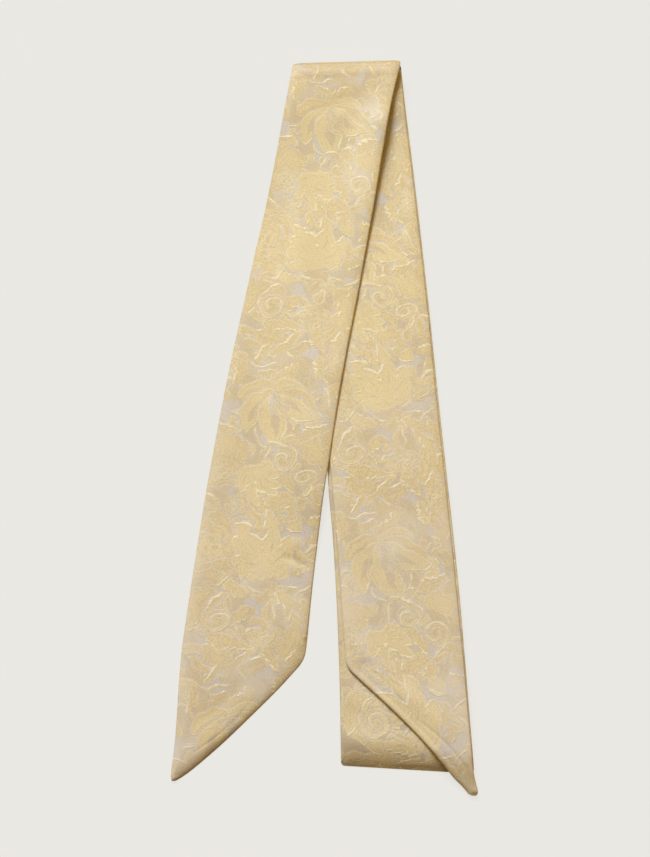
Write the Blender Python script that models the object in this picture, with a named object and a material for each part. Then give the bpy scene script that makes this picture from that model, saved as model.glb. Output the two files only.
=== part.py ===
"""A long narrow silk scarf, a flat tube folded in half twice and laid on a surface.

Sizes are in millimetres until the meshes are made. +X is the right of the flat lay, +Y its top fold and
+Z up from the surface. Edge tables read from the top fold down.
"""
import math

import bmesh
import bpy

MM = 0.001

# Cloth
TUBE = 1.8
GAP = 0.3
LEVEL = TUBE + GAP
SIDE_ROUND = 1.2
PILE_TOP = LEVEL + TUBE
END_BASE = 2 * LEVEL
FRONT_BASE = 3 * LEVEL

# Top fold
FOLD_Y = 246.5
FOLD_X = 14.0
FOLD_SKEW = 0.026
FOLD_SKEW_REACH = 45.0
ROLL_ROWS = 14
OUTER_ROLL = 5.6
OUTER_SETTLE = 80.0
INNER_ROLL = 1.9
INNER_SETTLE = 40.0
INNER_BACK = 3.6
INNER_END = FOLD_Y - INNER_BACK - GAP
STEP_FACE = 0.02

# Bottom fold
TURN_Y = -180.0
TURN_LENGTH = 15.6
TURN_X = 44.0
TURN_SKEW = -0.036
TURN_SKEW_REACH = 45.0
TURN_LOFT = 1.6
TURN_LOFT_Y = -130.0
TURN_LOFT_REACH = 45.0
TURN_ROWS = 12
TURN_CORNER = 2.2
NOSE = 2.2
GROOVE = 1.1
GROOVE_REACH = 10.0

# Front stretch leaving the pile
DROOP_GAP = 1.6
DROOP_REACH = 40.0
DROOP_START = 60.0
STEP_TOP = -4.0
STEP_LENGTH = 86.0
FRONT_HEM_Y = -128.0
FRONT_HEM_START = -118.0
FRONT_HEM_REACH = 22.0
FRONT_HEM_ROUND = 6.5
FRONT_PUFF = 0.45
FRONT_PUFF_Y = -50.0
FRONT_PUFF_REACH = 80.0

# End stretch leaving the pile
END_HEM_Y = -136.0
END_HEM_REACH = 10.0
END_HEM_ROUND = 3.0
TIP_BEND_Y = -184.0
TIP_Y = -208.2
TIP_BASE = 1.2

ROW_STEP = 8.0
HEM_STEP = 2.6
TIP_STEPS = (0.8, 0.3, 0.05)
ACROSS = 13
ROUND_STEPS = (0.0, 0.1, 0.4)

# y, left edge, right edge
FRONT_EDGES = (
    (246.5, -21.4, 49.2),
    (222.0, -25.3, 43.5),
    (185.0, -31.2, 37.1),
    (149.5, -37.2, 31.3),
    (115.0, -43.9, 25.4),
    (81.0, -50.1, 19.5),
    (48.5, -56.0, 13.4),
    (16.5, -61.2, 8.0),
    (-19.0, -66.4, 2.8),
    (-42.0, -69.6, -0.7),
    (-68.5, -72.8, -4.0),
    (-97.5, -76.2, -7.3),
    (-126.0, -79.3, -10.0),
    (-134.0, -79.9, -11.2),
    (-138.5, -80.1, -13.4),
    (-143.0, -80.3, -17.2),
    (-153.0, -80.7, -26.4),
    (-163.5, -80.9, -37.0),
    (-179.5, -81.4, -53.6),
    (-187.5, -82.0, -62.6),
    (-195.0, -82.7, -71.6),
    (-198.6, -82.8, -76.6),
    (-200.8, -82.2, -80.4),
)
END_EDGES = (
    (242.9, -18.8, 50.0),
    (224.0, -17.8, 51.3),
    (165.0, -12.8, 56.2),
    (81.0, -5.2, 62.4),
    (15.5, 0.2, 66.5),
    (-38.0, 4.9, 70.1),
    (-81.0, 8.3, 72.9),
    (-110.0, 10.0, 74.7),
    (-135.0, 11.2, 76.2),
    (-139.5, 11.7, 76.4),
    (-143.5, 14.4, 76.6),
    (-159.0, 31.0, 77.2),
    (-176.0, 48.4, 78.1),
    (-192.0, 64.6, 79.0),
    (-199.0, 71.0, 79.8),
    (-203.0, 74.4, 80.8),
    (-206.0, 76.6, 81.2),
    (-208.2, 78.4, 80.6),
)
UNDER_EDGES = (
    (246.2, -19.8, 50.6),
    (227.0, -18.3, 52.0),
    (167.0, -13.4, 57.0),
    (82.5, -6.1, 63.3),
    (17.0, -0.8, 67.6),
    (-37.0, 2.0, 71.4),
    (-69.0, 4.6, 73.7),
    (-103.5, 6.5, 75.8),
    (-137.0, 7.7, 77.3),
    (-158.5, 8.2, 78.2),
    (-180.0, 8.4, 79.2),
    (-196.0, 8.6, 80.2),
)

# inward share of the rounding, share of the tube's thickness
RIM = (
    (1.0, 1.0),
    (0.36, 0.86),
    (0.0, 0.5),
    (0.36, 0.14),
)

# node, red, green, blue
COLOURS = (
    ("front_stretch", 0.78, 0.62, 0.31),
    ("end_stretch", 0.72, 0.57, 0.29),
    ("under_stretches", 0.62, 0.48, 0.25),
)


def ramp(t):
    """0 below 0, 1 above 1 and soft between."""
    t = min(max(t, 0.0), 1.0)
    return t * t * (3 - 2 * t)


def arc(t):
    """Height of a quarter circle of radius 1 at t from its foot, and 1 beyond it."""
    t = min(max(t, 0.0), 1.0)
    return math.sqrt(1 - (1 - t) ** 2)


def edge(table, column, y):
    """One column of an edge table at y, on a smooth curve through its rows."""
    rows = table[::-1]
    if y <= rows[0][0]:
        return rows[0][column]
    if y >= rows[-1][0]:
        return rows[-1][column]
    i = max(k for k in range(len(rows) - 1) if rows[k][0] <= y)
    v0 = rows[i][column]
    v1 = rows[i + 1][column]
    span = rows[i + 1][0] - rows[i][0]
    before = (v1 - v0) / span
    after = before
    if i > 0:
        before = (v1 - rows[i - 1][column]) / (rows[i + 1][0] - rows[i - 1][0])
    if i + 2 < len(rows):
        after = (rows[i + 2][column] - v0) / (rows[i + 2][0] - rows[i][0])
    t = (y - rows[i][0]) / span
    return (
        (2 * t**3 - 3 * t**2 + 1) * v0
        + (t**3 - 2 * t**2 + t) * span * before
        + (3 * t**2 - 2 * t**3) * v1
        + (t**3 - t**2) * span * after
    )


def top_skew(x, y):
    """How far a row near the top fold runs along that fold's slant."""
    return FOLD_SKEW * ramp(1 - (FOLD_Y - y) / FOLD_SKEW_REACH) * (x - FOLD_X)


def low_skew(x, y):
    """How far a row near the bottom fold runs along that fold's slant."""
    return TURN_SKEW * ramp((TURN_Y + TURN_SKEW_REACH - y) / TURN_SKEW_REACH) * (x - TURN_X)


def pile_top(y):
    """Height of the hidden stretches' upper side: it rises to the bottom fold and falls over it."""
    top = PILE_TOP + TURN_LOFT * ramp((TURN_LOFT_Y - y) / TURN_LOFT_REACH)
    return NOSE + (top - NOSE) * arc((y - TURN_Y) / TURN_LENGTH + 1)


def front_base(x, y):
    """Height of the front stretch's underside: off the roll, along the pile and down beside it."""
    roll_top = 2 * OUTER_ROLL
    top = FRONT_BASE + (roll_top - FRONT_BASE) * ramp(1 - (FOLD_Y - y) / OUTER_SETTLE)
    pile = edge(UNDER_EDGES, 1, y) - DROOP_GAP
    past = ramp((pile - x) / DROOP_REACH) * ramp((FOLD_Y - y) / DROOP_START)
    step = ramp((STEP_TOP - y) / STEP_LENGTH)
    return top * (1 - past) * (1 - step)


def end_base(x, y):
    """Height of the end stretch's underside: off the inner roll, along the pile and down past its end."""
    roll_top = LEVEL + 2 * INNER_ROLL
    top = END_BASE + (roll_top - END_BASE) * ramp(1 - (FOLD_Y - INNER_BACK - y) / INNER_SETTLE)
    top += TURN_LOFT * ramp((TURN_LOFT_Y - y) / TURN_LOFT_REACH)
    bend = (TIP_BEND_Y - y + low_skew(x, y)) / (TIP_BEND_Y - TIP_Y)
    return top - (top - TIP_BASE) * ramp(bend)


def front_half(y):
    """Half the front stretch's thickness, which grows towards its seamed end."""
    return TUBE / 2 + FRONT_PUFF * ramp((FRONT_PUFF_Y - y) / FRONT_PUFF_REACH)


def end_half(y):
    """Half the end stretch's thickness, the same all along."""
    return TUBE / 2


def places(left, right, rounds):
    """Points across a row, close together where its two edges round off."""
    inner = left + rounds[0]
    width = right - rounds[1] - inner
    middle = [inner + width * k / (ACROSS - 1) for k in range(ACROSS)]
    rise = [left + step * rounds[0] for step in ROUND_STEPS]
    fall = [right - step * rounds[1] for step in reversed(ROUND_STEPS)]
    return rise + middle + fall


def ring(left, right, rounds, half, place):
    """One closed ring round the tube. place gives a point from x and a height off the tube's middle."""
    share = min(1.0, 0.96 * (right - left) / sum(rounds))
    rounds = [share * size for size in rounds]
    xs = places(left, right, rounds)
    heights = [half * min(arc((x - left) / rounds[0]), arc((right - x) / rounds[1])) for x in xs]
    upper = [place(x, height) for x, height in zip(xs, heights)]
    lower = [place(x, -height) for x, height in zip(xs, heights)]
    return upper + lower[-2:0:-1]


def steps(start, stop, size):
    """Values from start to stop, both included, no further apart than size."""
    count = math.ceil(abs(stop - start) / size)
    return [start + (stop - start) * k / count for k in range(count + 1)]


def leg(table, hem_y, rounds, base, half):
    """Rings of a leg from the top fold to its slanted tip. rounds gives both edges' rounding at y."""
    tip = table[-1][0]
    ys = steps(table[0][0], hem_y, ROW_STEP)
    ys += steps(hem_y, tip + 2 * TIP_STEPS[0], HEM_STEP)[1:]
    ys += [tip + step for step in TIP_STEPS]
    rings = []
    for y in ys:
        thick = half(y)

        def place(x, height, y=y, thick=thick):
            return x, y + top_skew(x, y), base(x, y) + thick + height

        end = thick * arc((y - tip) / thick)
        rings.append(ring(edge(table, 1, y), edge(table, 2, y), rounds(y), end, place))
    return rings


def front_rounds(y):
    """How far in the front stretch's left and right edges round off: more along its slanted end."""
    hem = ramp((FRONT_HEM_START - y) / FRONT_HEM_REACH)
    return SIDE_ROUND, SIDE_ROUND + (FRONT_HEM_ROUND - SIDE_ROUND) * hem


def end_rounds(y):
    """The same for the end stretch, whose slanted end is on its left."""
    hem = ramp((END_HEM_Y - y) / END_HEM_REACH)
    return SIDE_ROUND + (END_HEM_ROUND - SIDE_ROUND) * hem, SIDE_ROUND


def roll(table, radius, back, low):
    """Rings of a top roll, from its lower end up to where the leg starts. low is its lower end's base."""
    rings = []
    centre_y = FOLD_Y - back
    centre_z = low + TUBE / 2 + radius
    for k in range(ROLL_ROWS):
        turn = k / ROLL_ROWS
        angle = math.pi * (turn - 0.5)
        left = UNDER_EDGES[0][1] + (table[0][1] - UNDER_EDGES[0][1]) * ramp(turn)
        right = UNDER_EDGES[0][2] + (table[0][2] - UNDER_EDGES[0][2]) * ramp(turn)

        def place(x, height, angle=angle):
            reach = radius + height
            y = centre_y + top_skew(x, FOLD_Y) + reach * math.cos(angle)
            return x, y, centre_z + reach * math.sin(angle)

        rings.append(ring(left, right, (SIDE_ROUND, SIDE_ROUND), TUBE / 2, place))
    return rings


def under_rings():
    """Rings of the hidden stretches: one solid, grooved at its edges and rounded at the bottom fold."""
    ys = [FOLD_Y - GAP, INNER_END + STEP_FACE] + steps(INNER_END, TURN_Y, ROW_STEP)
    ys += [TURN_Y - TURN_LENGTH * math.sin(math.pi / 2 * k / TURN_ROWS) for k in range(1, TURN_ROWS)]
    ys += [TURN_Y - TURN_LENGTH + STEP_FACE]
    rings = []
    for y in ys:
        nose_gap = y - TURN_Y + TURN_LENGTH
        top = pile_top(y) if y <= INNER_END else TUBE
        bottom = NOSE * (1 - arc(nose_gap / NOSE))
        inset = TURN_CORNER * (1 - arc(nose_gap / TURN_CORNER))
        left = edge(UNDER_EDGES, 1, y) + inset
        right = edge(UNDER_EDGES, 2, y) - inset
        groove = GROOVE * ramp((y - TURN_Y) / GROOVE_REACH) * (y <= INNER_END)
        rim = [(inward * SIDE_ROUND, (LEVEL + share * TUBE) / PILE_TOP) for inward, share in RIM]
        rim.append((0.4 * SIDE_ROUND + groove, 0.5))
        rim += [(inward, 1 - share) for inward, share in rim[-2::-1]]
        middle = places(left, right, (SIDE_ROUND, SIDE_ROUND))[len(ROUND_STEPS) + 1:-len(ROUND_STEPS) - 1]
        points = [(x, 1.0) for x in middle]
        points += [(right - inward, share) for inward, share in rim]
        points += [(x, 0.0) for x in middle[::-1]]
        points += [(left + inward, share) for inward, share in rim[::-1]]
        height = top - bottom
        rings.append([
            (x, y + top_skew(x, y) + low_skew(x, y), bottom + height * share) for x, share in points
        ])
    return rings


def solid(name, rings):
    """A closed body through the rings, with flat caps."""
    form = bmesh.new()
    loops = [[form.verts.new(point) for point in points] for points in rings]
    count = len(loops[0])
    for lower, upper in zip(loops, loops[1:]):
        for k in range(count):
            n = (k + 1) % count
            form.faces.new((lower[k], lower[n], upper[n], upper[k]))
    form.faces.new(loops[0][::-1])
    form.faces.new(loops[-1])
    bmesh.ops.recalc_face_normals(form, faces=form.faces)
    mesh = bpy.data.meshes.new(name)
    form.to_mesh(mesh)
    form.free()
    body = bpy.data.objects.new(name, mesh)
    bpy.context.scene.collection.objects.link(body)
    return body


def centre(bodies):
    """Moves the bodies so that the origin is under the middle of their box, and turns them to metres."""
    points = [vertex.co for body in bodies for vertex in body.data.vertices]
    low = [min(point[axis] for point in points) for axis in range(3)]
    high = [max(point[axis] for point in points) for axis in range(3)]
    for point in points:
        point.x = (point.x - (low[0] + high[0]) / 2) * MM
        point.y = (point.y - (low[1] + high[1]) / 2) * MM
        point.z = (point.z - low[2]) * MM


def colour(bodies):
    """Gives each body its own plain silk material."""
    for body, (name, red, green, blue) in zip(bodies, COLOURS):
        material = bpy.data.materials.new(name)
        material.use_nodes = True
        shader = material.node_tree.nodes["Principled BSDF"]
        shader.inputs["Base Color"].default_value = (red, green, blue, 1.0)
        shader.inputs["Roughness"].default_value = 0.45
        body.data.materials.append(material)


for old in list(bpy.data.objects):
    bpy.data.objects.remove(old)

front = roll(FRONT_EDGES, OUTER_ROLL, 0.0, 0.0)
front += leg(FRONT_EDGES, FRONT_HEM_Y, front_rounds, front_base, front_half)
end = roll(END_EDGES, INNER_ROLL, INNER_BACK, LEVEL)
end += leg(END_EDGES, END_HEM_Y, end_rounds, end_base, end_half)
made = [
    solid("front_stretch", front),
    solid("end_stretch", end),
    solid("under_stretches", under_rings()),
]
centre(made)
colour(made)
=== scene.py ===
"""Silk cloth, light and camera for a long narrow scarf, folded in half twice and laid flat.

Shapes are worked out in millimetres, +X right, +Y towards the top fold and +Z up, and turned to metres
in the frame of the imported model. Edge tables read from the top fold down.
"""
import math
from dataclasses import dataclass

import bpy
import numpy as np
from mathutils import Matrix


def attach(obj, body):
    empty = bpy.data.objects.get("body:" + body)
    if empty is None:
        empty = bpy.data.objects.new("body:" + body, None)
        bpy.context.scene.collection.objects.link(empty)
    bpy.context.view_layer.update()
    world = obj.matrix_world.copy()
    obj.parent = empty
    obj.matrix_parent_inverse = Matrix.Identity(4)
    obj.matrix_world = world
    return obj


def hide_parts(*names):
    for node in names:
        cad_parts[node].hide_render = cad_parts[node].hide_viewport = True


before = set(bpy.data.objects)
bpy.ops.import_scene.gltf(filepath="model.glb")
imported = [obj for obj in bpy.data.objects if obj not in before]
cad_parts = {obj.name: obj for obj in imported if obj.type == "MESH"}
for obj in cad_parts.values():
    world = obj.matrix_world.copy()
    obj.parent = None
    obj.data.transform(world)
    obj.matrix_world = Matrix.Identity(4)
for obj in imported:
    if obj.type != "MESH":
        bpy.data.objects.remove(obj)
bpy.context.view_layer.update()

MM = 0.001

# Cloth
TUBE = 1.8
WALL = 0.35
GAP = 0.3
LEVEL = TUBE + GAP
SIDE_ROUND = 1.2
PILE_TOP = LEVEL + TUBE
END_BASE = 2 * LEVEL
FRONT_BASE = 3 * LEVEL

# Top fold
FOLD_Y = 246.5
FOLD_X = 24.0
FOLD_SKEW = 0.036
FOLD_SKEW_REACH = 45.0
OUTER_ROLL = 5.6
OUTER_SETTLE = 80.0
INNER_ROLL = 1.9
INNER_SETTLE = 40.0
INNER_BACK = 3.6
STEP_FACE = 0.02

# Bottom fold
TURN_Y = -180.0
TURN_LENGTH = 15.6
TURN_X = 56.0
TURN_SKEW = -0.058
TURN_SKEW_REACH = 45.0
TURN_LOFT = 2.0
TURN_LOFT_Y = (-90.0, -85.0)
TURN_ROWS = 26
TURN_CORNER = 2.2
GROOVE = 1.1
GROOVE_REACH = 10.0
GROOVE_ROUND = 0.4

# Front stretch leaving the pile. A hem: where it starts, how far on it is full, how far in it rounds.
DROOP_GAP = 1.6
DROOP_REACH = 40.0
DROOP_START = 60.0
STEP_Y = (-4.0, -98.0)
FRONT_HEM = (-118.0, -22.0, 6.5)
FRONT_PUFF = 0.45
PUFF_Y = (-50.0, -80.0)

# End stretch leaving the pile
END_HEM = (-136.0, -10.0, 3.0)
TIP_BEND_Y = -184.0
TIP_Y = -208.2
TIP_BASE = 1.2

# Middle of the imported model's box
CENTRE_X = -0.852
CENTRE_Y = 22.876

# Edges: a tight rounding, its share of the thickness and the broad rounding behind it
EDGE_ROUND = 0.6
EDGE_SHARE = 0.42
EDGE_SLOPE = 5.0
HEM_EDGE = 0.14
HEM_BLUNT = 0.1
HEM_SWELL = 0.64
HEM_CHANGE = 1.6

# Front stretch's right edge stands a little off the stretch below it
LIFT = 3.7
LIFT_POWER = 3.0
LIFT_LOW = 0.75
LIFT_LOW_Y = -6.0
LIFT_REACH = 27.0
LIFT_HIGH_Y = (20.0, 180.0)
LIFT_TOP_Y = (232.0, -32.0)

# End stretch's slanted hem stands a little off the bottom fold
HEM_LIFT = 1.3
HEM_LIFT_REACH = 5.5

# How much further up the inner roll lies, under the outer one
NUDGE = 3.0
NUDGE_Y = (200.0, 40.0)
INNER_END = FOLD_Y - INNER_BACK - GAP + NUDGE

# How far in the top fold's left and right corners round off
FOLD_CORNERS = (3.4, 1.4)

# Low ridge just below the top fold
CREST = 0.2
CREST_REACH = 4.2
CREST_END = 2.2

# Upper side of the bottom fold
FALL_Y = -178.0
FALL_NOSE = 0.3
FALL_POWER = 1.9

# Painted shade, 0 to 1: places whose colour is darkened where less light gets in. A pair is where one sets
# in and how far on it is full.
# Painted shade on the top fold's far side, and on the bottom fold's lower edge
TOP_SHADE = 0.62
TOP_SHADE_Y = (245.8, 4.8)
FALL_SHADE = 0.44
FALL_SHADE_REACH = 6.5
# Painted shade along the front stretch's slanted end and its left edge
TIP_SHADE = 0.74
TIP_SHADE_REACH = 6.3
TIP_SHADE_Y = (-161.0, -26.0)
LEFT_SHADE = 0.09
LEFT_SHADE_REACH = 9.0
LEFT_SHADE_TOP = (220.0, -40.0)
LEFT_SHADE_LOW = (-60.0, 60.0)
# Painted shadow beside that stretch, and on the hidden stretches' left edge
BESIDE_SHADE = 0.28
BESIDE_SHADE_X = (10.5, -6.5)
BESIDE_SHADE_Y = (90.0, 100.0)
RIM_SHADE = 0.24
RIM_SHADE_REACH = 3.2
RIM_SHADE_Y = (-146.0, 8.0)
# A painted dark spot for the shade in the seamed tip's mouth: x, y, half width, half height
MOUTH_SHADE = 0.95
MOUTH_SPOT = (79.6, -207.2, 1.7, 1.2)

# Open end of the seamed tip: row behind the tip, share of the width taken off each side
MOUTH = ((0.3, 0.16), (1.4, 0.24), (3.6, 0.30))
MOUTH_HALF = 0.62
MOUTH_THIN = 1.6
MOUTH_BACK = 6.0

# Thickness left at a closed tip, and at least anywhere in the lining
TIP_BLUNT = 0.25
LEAST_HALF = 0.1

# Where the end stretch shows: right of the front one, and below where they part
SHOWN_X = (1.0, 7.0)
SHOWN_Y = (-8.0, -12.0)

# Hidden stretches: where rows lie close, and where creases end
FALL_FINE_Y = -122.0
PILE_CREASE_SIDE = 6.0
PILE_CREASE_Y = (-130.0, -12.0)
PILE_CREASE_NOSE = 3.0
PILE_HALF_WIDTH = 35.0

# Mesh spacing
FINE = 0.76
PILE_FINE = 0.55
LINING = 4.0
UNDERSIDE = 3.2
RISE = (0.0, 0.02, 0.07, 0.16, 0.30, 0.46, 0.7)
LINING_RISE = (0.0, 0.3)
LINING_CREASE = 0.8
TIP_STEPS = (0.8, 0.4, 0.15, 0.02)
TIP_CREASE = 6.0
ROUND_FIT = 0.96
UNSHARED = slice(-2, 0, -1)

# y, left edge, right edge
FRONT_EDGES = (
    (246.5, -21.4, 49.2), (222, -25.3, 43.5), (185, -31.2, 37.1), (149.5, -37.2, 31.3),
    (115, -43.9, 25.4), (81, -50.1, 19.5), (48.5, -56, 13.4), (16.5, -61.2, 8), (-19, -66.4, 2.8),
    (-42, -69.6, -0.7), (-68.5, -72.8, -4), (-97.5, -76.2, -7.3), (-126, -79.3, -10),
    (-134, -79.9, -11.2), (-138.5, -80.1, -13.4), (-143, -80.3, -17.2), (-153, -80.7, -26.4),
    (-163.5, -80.9, -37), (-179.5, -81.4, -53.6), (-187.5, -82, -62.6), (-195, -82.7, -71.6),
    (-198.6, -82.8, -76.6), (-200.8, -82.2, -80.4),
)
END_EDGES = (
    (242.9, -18.8, 50), (224, -17.8, 51.3), (165, -12.8, 56.2), (81, -5.2, 62.4), (15.5, -0.2, 66.5),
    (-38, 4.1, 70.1), (-81, 7.5, 72.9), (-110, 9.4, 74.7), (-135, 11.2, 76.2), (-139.5, 11.7, 76.4),
    (-143.5, 14.4, 76.6), (-159, 31, 77.2), (-176, 48.4, 78.1), (-192, 62.8, 79), (-199, 68.4, 80),
    (-203, 72.6, 81), (-206, 75.4, 81.7), (-207.6, 76.8, 81.4), (-208.4, 78.4, 80.4),
)
UNDER_EDGES = (
    (246.2, -19.8, 50.6), (227, -18.3, 52), (167, -13.4, 57), (82.5, -6.1, 63.3), (17, -0.8, 67.6),
    (-37, 2, 71.4), (-69, 4.6, 73.7), (-103.5, 6.5, 75.8), (-137, 7.7, 77.3), (-158.5, 8.2, 78.2),
    (-180, 8.4, 79.2), (-196, 8.6, 80.2),
)

# inward share of the rounding, share of the tube's thickness
RIM = ((1, 1), (0.66, 0.96), (0.36, 0.86), (0.1, 0.68), (0, 0.5), (0.1, 0.32), (0.36, 0.14), (0.66, 0.05))

# from x, y to x, y, half width, height: ridges above 0 and troughs below
CREASE_ENDS = 0.35
CREASE_BOW = 0.06
SOFT_SHARE = 0.6
FRONT_CREASES = (
    (18, 186, -4, 118, 11, 0.30), (30, 228, -16, 214, 6, -0.35), (-20, 205, -30, 150, 6, 0.12),
    (12, 98, -24, 62, 6.5, 0.26), (-46, 96, -30, 60, 5, -0.24), (-50, 22, -14, -6, 6, 0.25),
    (-56, 2, -70, -52, 5.5, 0.28), (-27, -77, -5, -88, 2.3, -0.55), (-23, -69, -5, -77, 3.5, 0.30),
    (-70, -70, -62, -150, 9, -0.50), (-18, -96, -50, -152, 6, 0.50), (-24, -146, -74, -191, 2.6, 0.42),
    (-40, -140, -76, -176, 4, -0.30), (-76, -120, -78, -186, 2.2, 0.25),
    (-36, -153.5, -78, -190.5, 0.8, -0.22),
)
END_CREASES = (
    (56, 186, 50, 110, 5, 0.40), (24, 62, 58, 24, 7, 0.35), (20, 20, 48, -18, 6, 0.40),
    (66, 40, 70, -40, 5, -0.25), (12, -30, 46, -62, 6, -0.28), (30, -84, 62, -70, 7, 0.28),
    (32, -128, 45, -158, 7, -0.40), (16, -124, 24, -142, 4, 0.28), (32, -148, 72, -186, 4.5, 0.55),
    (66, -100, 72, -160, 5, 0.30), (72, -186, 79.5, -203, 1.6, 0.40), (13, -134, 50, -171, 0.8, -0.16),
    (46, -167, 78.5, -199.5, 0.8, -0.26),
)
UNDER_CREASES = (
    (10, -156, 46, -176, 6, 0.25), (-20, -188, 80, -194, 8, 0.75), (6, -160, 30, -186, 3.5, -0.3),
)

# per mm along, per mm across, phase, height
SOFT_WAVES = (
    (0.110, 0.060, 0.4, 0.040), (-0.070, 0.130, 2.1, 0.035), (0.190, -0.110, 4, 0.020),
    (0.045, 0.210, 1.2, 0.022),
)
PATCH_WAVES = (
    (0.26, 0.11, 0.3, 1), (-0.14, 0.31, 1.9, 1), (0.07, -0.24, 4.1, 1.1), (0.36, 0.21, 2.2, 0.7),
    (0.51, -0.43, 0.9, 0.5),
)
WARP_ALONG = (
    (0.21, 0.17, 0.7, 0.9), (-0.44, 0.39, 2.9, 0.45), (0.62, -0.35, 1.3, 0.35), (1.15, 0.72, 1.1, 0.12),
    (-0.83, 1.47, 5.2, 0.07),
)
WARP_ACROSS = (
    (0.19, -0.23, 3.7, 0.9), (0.47, 0.31, 0.2, 0.45), (-0.38, 0.71, 2.6, 0.35), (-1.31, 0.66, 2.4, 0.12),
    (0.92, 1.21, 4.4, 0.07),
)

# Painted sheen as x, y, radius, strength: places painted paler, and below 0 more golden
PAINTED_SHEEN_SPOTS = (
    (-45, -145, 13, 0.8), (-18, -108, 11, 0.8), (-4, 8, 11, 0.7), (33, 201, 12, 0.7), (61, 8, 9, 0.6),
    (76, -145, 10, 0.9), (70, -95, 9, 0.6), (-25, -44, 13, -1), (42, -142, 10, -1), (18, -147, 5, 1),
    (40, -90, 22, 0.5), (2, 135, 26, -0.7),
)
PAINTED_SHEEN_EDGE = 7.0
# Painted sheen along the edges: strength, y where it sets in, how far on it is full
END_RIGHT_PAINTED_SHEEN = (0.8, -20.0, -60.0)
END_LEFT_PAINTED_SHEEN = (0.3, -10.0, -40.0)
FRONT_LEFT_PAINTED_SHEEN = (1.0, 80.0, -120.0)

# Woven figure
REPEAT = 196.0
REPEATS = (-REPEAT, 0.0, REPEAT)
CLOTH_WIDTH = 70.0
LINE_GAP = 0.9
LINE_BORDER = 1.6
OFF = -6.0
FAR = 1e3
BACK_SHIFT = 60.0
PATCH_LEVEL = -0.8
# Painted highlight on the hidden stretches: their ground more golden and their figure paler
PILE_PATCH = -2.4
PILE_TONE = 0.5
LEAN_ROWS = 6
LEAN_LIMIT = 0.5

# share that rises to the widest point, share that falls from it
PROFILES = {"petal": (0.55, 0.75), "leaf": (0.45, 0.9), "lobe": (0.35, 0.45), "stem": (0.05, 0.12)}

# kind, then along, across, heading, size, turn
BACK_MOTIFS = {
    "acanthus": (
        (18, 66, 200, 40, 50), (40, 8, 60, 34, 60), (60, 4, 20, 38, -45), (78, 44, 250, 32, 70),
        (100, 60, 160, 42, 60), (128, 12, -30, 36, 70), (146, 58, 100, 30, -70), (172, 56, 120, 36, -60),
        (190, 28, 30, 32, 60),
    ),
    "leaf": (
        (8, 26, 40, 26, 20), (26, 40, 120, 22, -30), (40, 50, 10, 26, -30), (62, 60, -40, 22, 30),
        (84, 30, 100, 26, -30), (96, 8, 60, 22, 40), (112, 34, -60, 26, 30), (134, 40, 30, 22, -40),
        (150, 40, 220, 26, 30), (160, 20, 80, 24, 35), (190, 14, 60, 26, 20),
    ),
}
FRONT_MOTIFS = {
    "scroll": (
        (2, 8, 50, 42, 125), (98, 66, 210, 40, 120), (120, 20, -20, 38, -125), (180, 4, 80, 40, -118),
    ),
    "acanthus": (
        (2, 20, 170, 26, 80), (74, 62, 190, 34, -50), (66, 10, -10, 34, 55), (98, 40, 40, 28, -75),
        (116, 4, 60, 26, 60), (160, 8, 20, 34, -60), (172, 66, 200, 26, 70), (192, 58, 150, 30, 60),
        (56, 66, 60, 24, -70),
    ),
    "leaf": (
        (10, 60, 150, 20, 45), (16, 6, 20, 16, -40), (62, 30, 70, 17, 50), (84, 40, 60, 18, -45),
        (96, 30, 10, 20, 50), (104, 52, -30, 18, -50), (112, 60, 80, 15, 45), (120, 38, 160, 16, -45),
        (168, 34, -70, 20, 45), (186, 22, 100, 18, -45), (178, 38, 30, 15, 40), (60, 50, 100, 16, 40),
        (190, 44, 60, 16, -40),
    ),
    "rose": (
        (132, 8, 0, 19, 0), (88, 10, 0, 10, 0), (182, 48, 40, 9, 0), (106, 20, 80, 7, 0),
        (8, 64, 10, 8, 0),
    ),
    "lily": ((34, 30, 20, 34, 0),),
    "palm": ((142, 40, 200, 36, 0), (84, 26, 30, 24, 0)),
    "spiral": ((76, 42, 60, 6, 1), (86, 56, 200, 5.2, -1), (174, 18, 20, 6.6, -1)),
}

# angle from the flower's heading, length share, half width, bend, tone, side with a cord
LILY_PETALS = (
    (-124, 0.66, 7.2, 66, 0.60, 1), (108, 0.58, 6.4, -72, 0.85, -1), (-74, 0.94, 7, 56, 0.75, 1),
    (62, 0.82, 6.2, -24, 0.60, -1), (-26, 1.06, 7.6, 42, 0.95, 1), (24, 0.90, 6.4, 34, 1.00, -1),
    (2, 0.58, 5, 22, 0.70, 1),
)
# angle from the leaf's heading, length share, half width share, bend
ACANTHUS_LOBES = (
    (-74, 0.42, 0.12, 56), (66, 0.46, 0.12, -50), (-40, 0.66, 0.13, 34), (36, 0.62, 0.13, -34),
    (0, 1.00, 0.17, 30),
)
# the same for the broad leaf
PALM_LOBES = (
    (-122, 0.40, 0.14, 62), (104, 0.46, 0.14, -50), (-78, 0.70, 0.17, 50), (66, 0.58, 0.15, -26),
    (-36, 0.98, 0.16, 38), (28, 0.72, 0.14, 10), (2, 0.88, 0.16, 34),
)
# petals, length share, half width share
ROSE_RINGS = ((7, 1.00, 0.42), (5, 0.66, 0.34), (3, 0.36, 0.24))
SPIRAL_TURNS = 1.3
SPIRAL_DISC = 1.08
SPIRAL_CORE = 0.22
SPIRAL_TAIL = 1.18
VEIN = 0.42
VEIN_SIDE = 0.16
INNER_EDGE = 1.7
STRAIGHT = 0.02
CORD_EDGE = 1.2
# share of the width that a tooth starts from and adds, how far it leans back, and its power
TOOTH = (0.56, 0.52, 0.10, 0.7)
SLIM = 0.23
SCROLL_HALF = 2.1

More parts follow.
